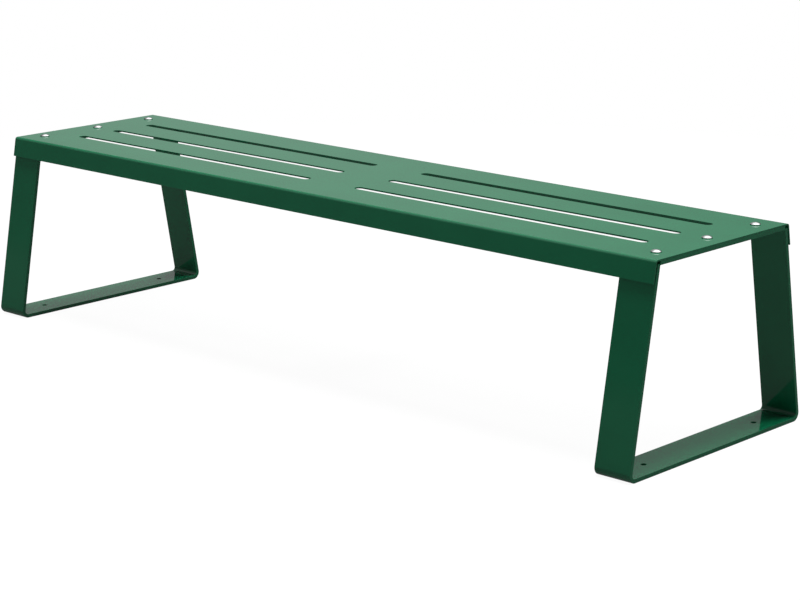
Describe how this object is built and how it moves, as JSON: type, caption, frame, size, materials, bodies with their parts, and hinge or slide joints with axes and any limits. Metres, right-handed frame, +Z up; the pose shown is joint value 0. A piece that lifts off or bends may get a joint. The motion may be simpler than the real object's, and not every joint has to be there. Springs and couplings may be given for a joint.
{
  "type": "backless bench",
  "caption": "Backless outdoor bench: a seat folded from steel sheet with long round-ended slots, bolted onto trapezoid end frames of bent flat bar.",
  "frame": {"origin": "on the ground, below the middle of the seat", "axes": "+X along the seat, towards the right end seen from the front; +Y to the rear; +Z up"},
  "size_m": [1.8, 0.5378, 0.4049],
  "materials": {
    "green_paint": "gloss",
    "bare_steel": "satin"
  },
  "bodies": {
    "root": {"seat_panel": "green_paint", "leg_bar_left": "green_paint", "top_plate_left": "green_paint", "weld_left_front": "green_paint", "weld_left_rear": "green_paint", "leg_bar_right": "green_paint", "top_plate_right": "green_paint", "weld_right_front": "green_paint", "weld_right_rear": "green_paint", "bolt_left_front": "bare_steel", "washer_left_front": "bare_steel", "nut_left_front": "bare_steel", "bolt_left_middle": "bare_steel", "washer_left_middle": "bare_steel", "nut_left_middle": "bare_steel", "bolt_left_rear": "bare_steel", "washer_left_rear": "bare_steel", "nut_left_rear": "bare_steel", "bolt_right_front": "bare_steel", "washer_right_front": "bare_steel", "nut_right_front": "bare_steel", "bolt_right_middle": "bare_steel", "washer_right_middle": "bare_steel", "nut_right_middle": "bare_steel", "bolt_right_rear": "bare_steel", "washer_right_rear": "bare_steel", "nut_right_rear": "bare_steel"}
  },
  "joints": []
}
